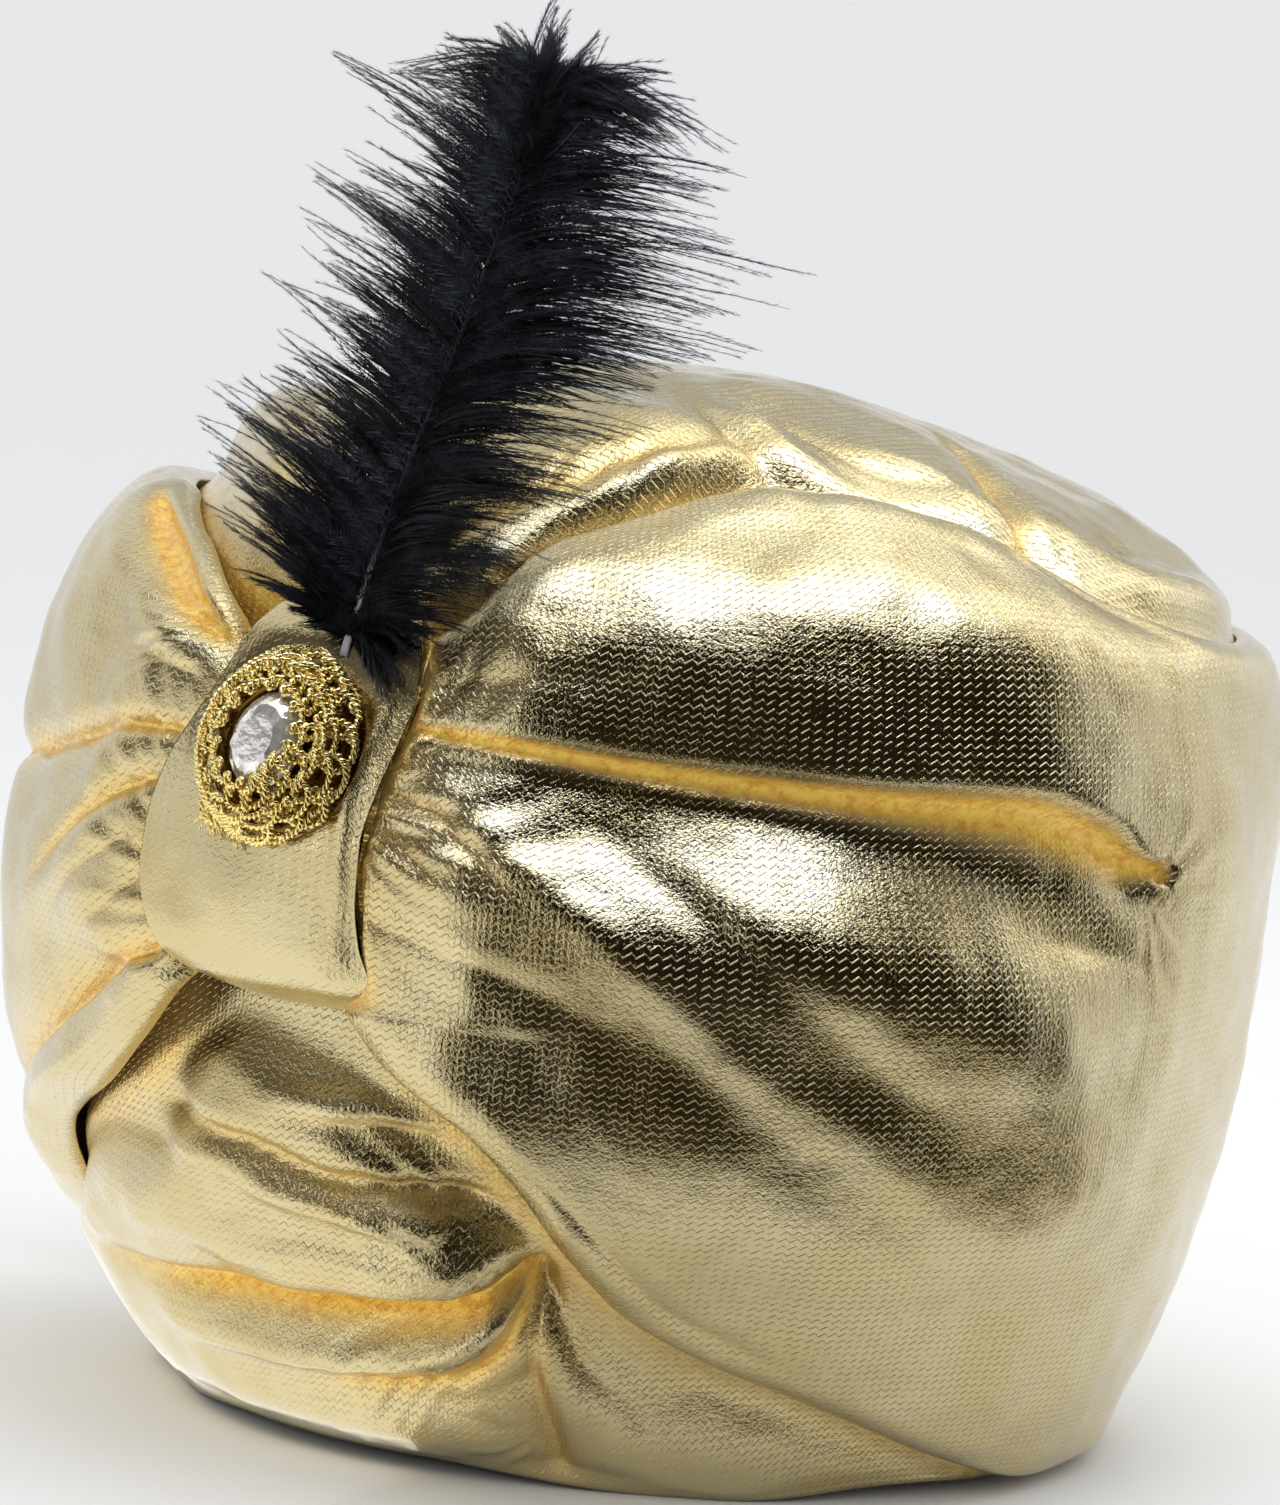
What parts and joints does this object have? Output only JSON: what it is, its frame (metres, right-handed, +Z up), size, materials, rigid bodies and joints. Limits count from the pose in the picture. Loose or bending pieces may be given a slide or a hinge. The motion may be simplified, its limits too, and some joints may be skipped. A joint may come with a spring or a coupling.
{
  "type": "turban",
  "caption": "Padded turban of gold foil cloth with two wrapped side wings, a gathered front band, a knot band, a brooch with a clear oval stone and a black plume",
  "frame": {"origin": "on the surface that the rim rests on, under the middle of the outer box", "axes": "-Y is the front with the knot and brooch, +X is the wearer's left, +Z is up"},
  "size_m": [0.2536, 0.2866, 0.2851],
  "materials": {
    "gold_cloth": "shiny gold foil on a fine zigzag knit, over thin padding",
    "gold_braid": "looped cord braid of gold metal thread",
    "clear_stone": "clear cut stone with a silver foil back",
    "black_plume": "black ostrich plume with a soft sheen"
  },
  "bodies": {
    "root": {"crown": "gold_cloth", "head_band": "gold_cloth", "wing_left": "gold_cloth", "wing_right": "gold_cloth", "knot_band": "gold_cloth", "brooch_braid": "gold_braid", "brooch_stone": "clear_stone", "plume": "black_plume"}
  },
  "joints": []
}
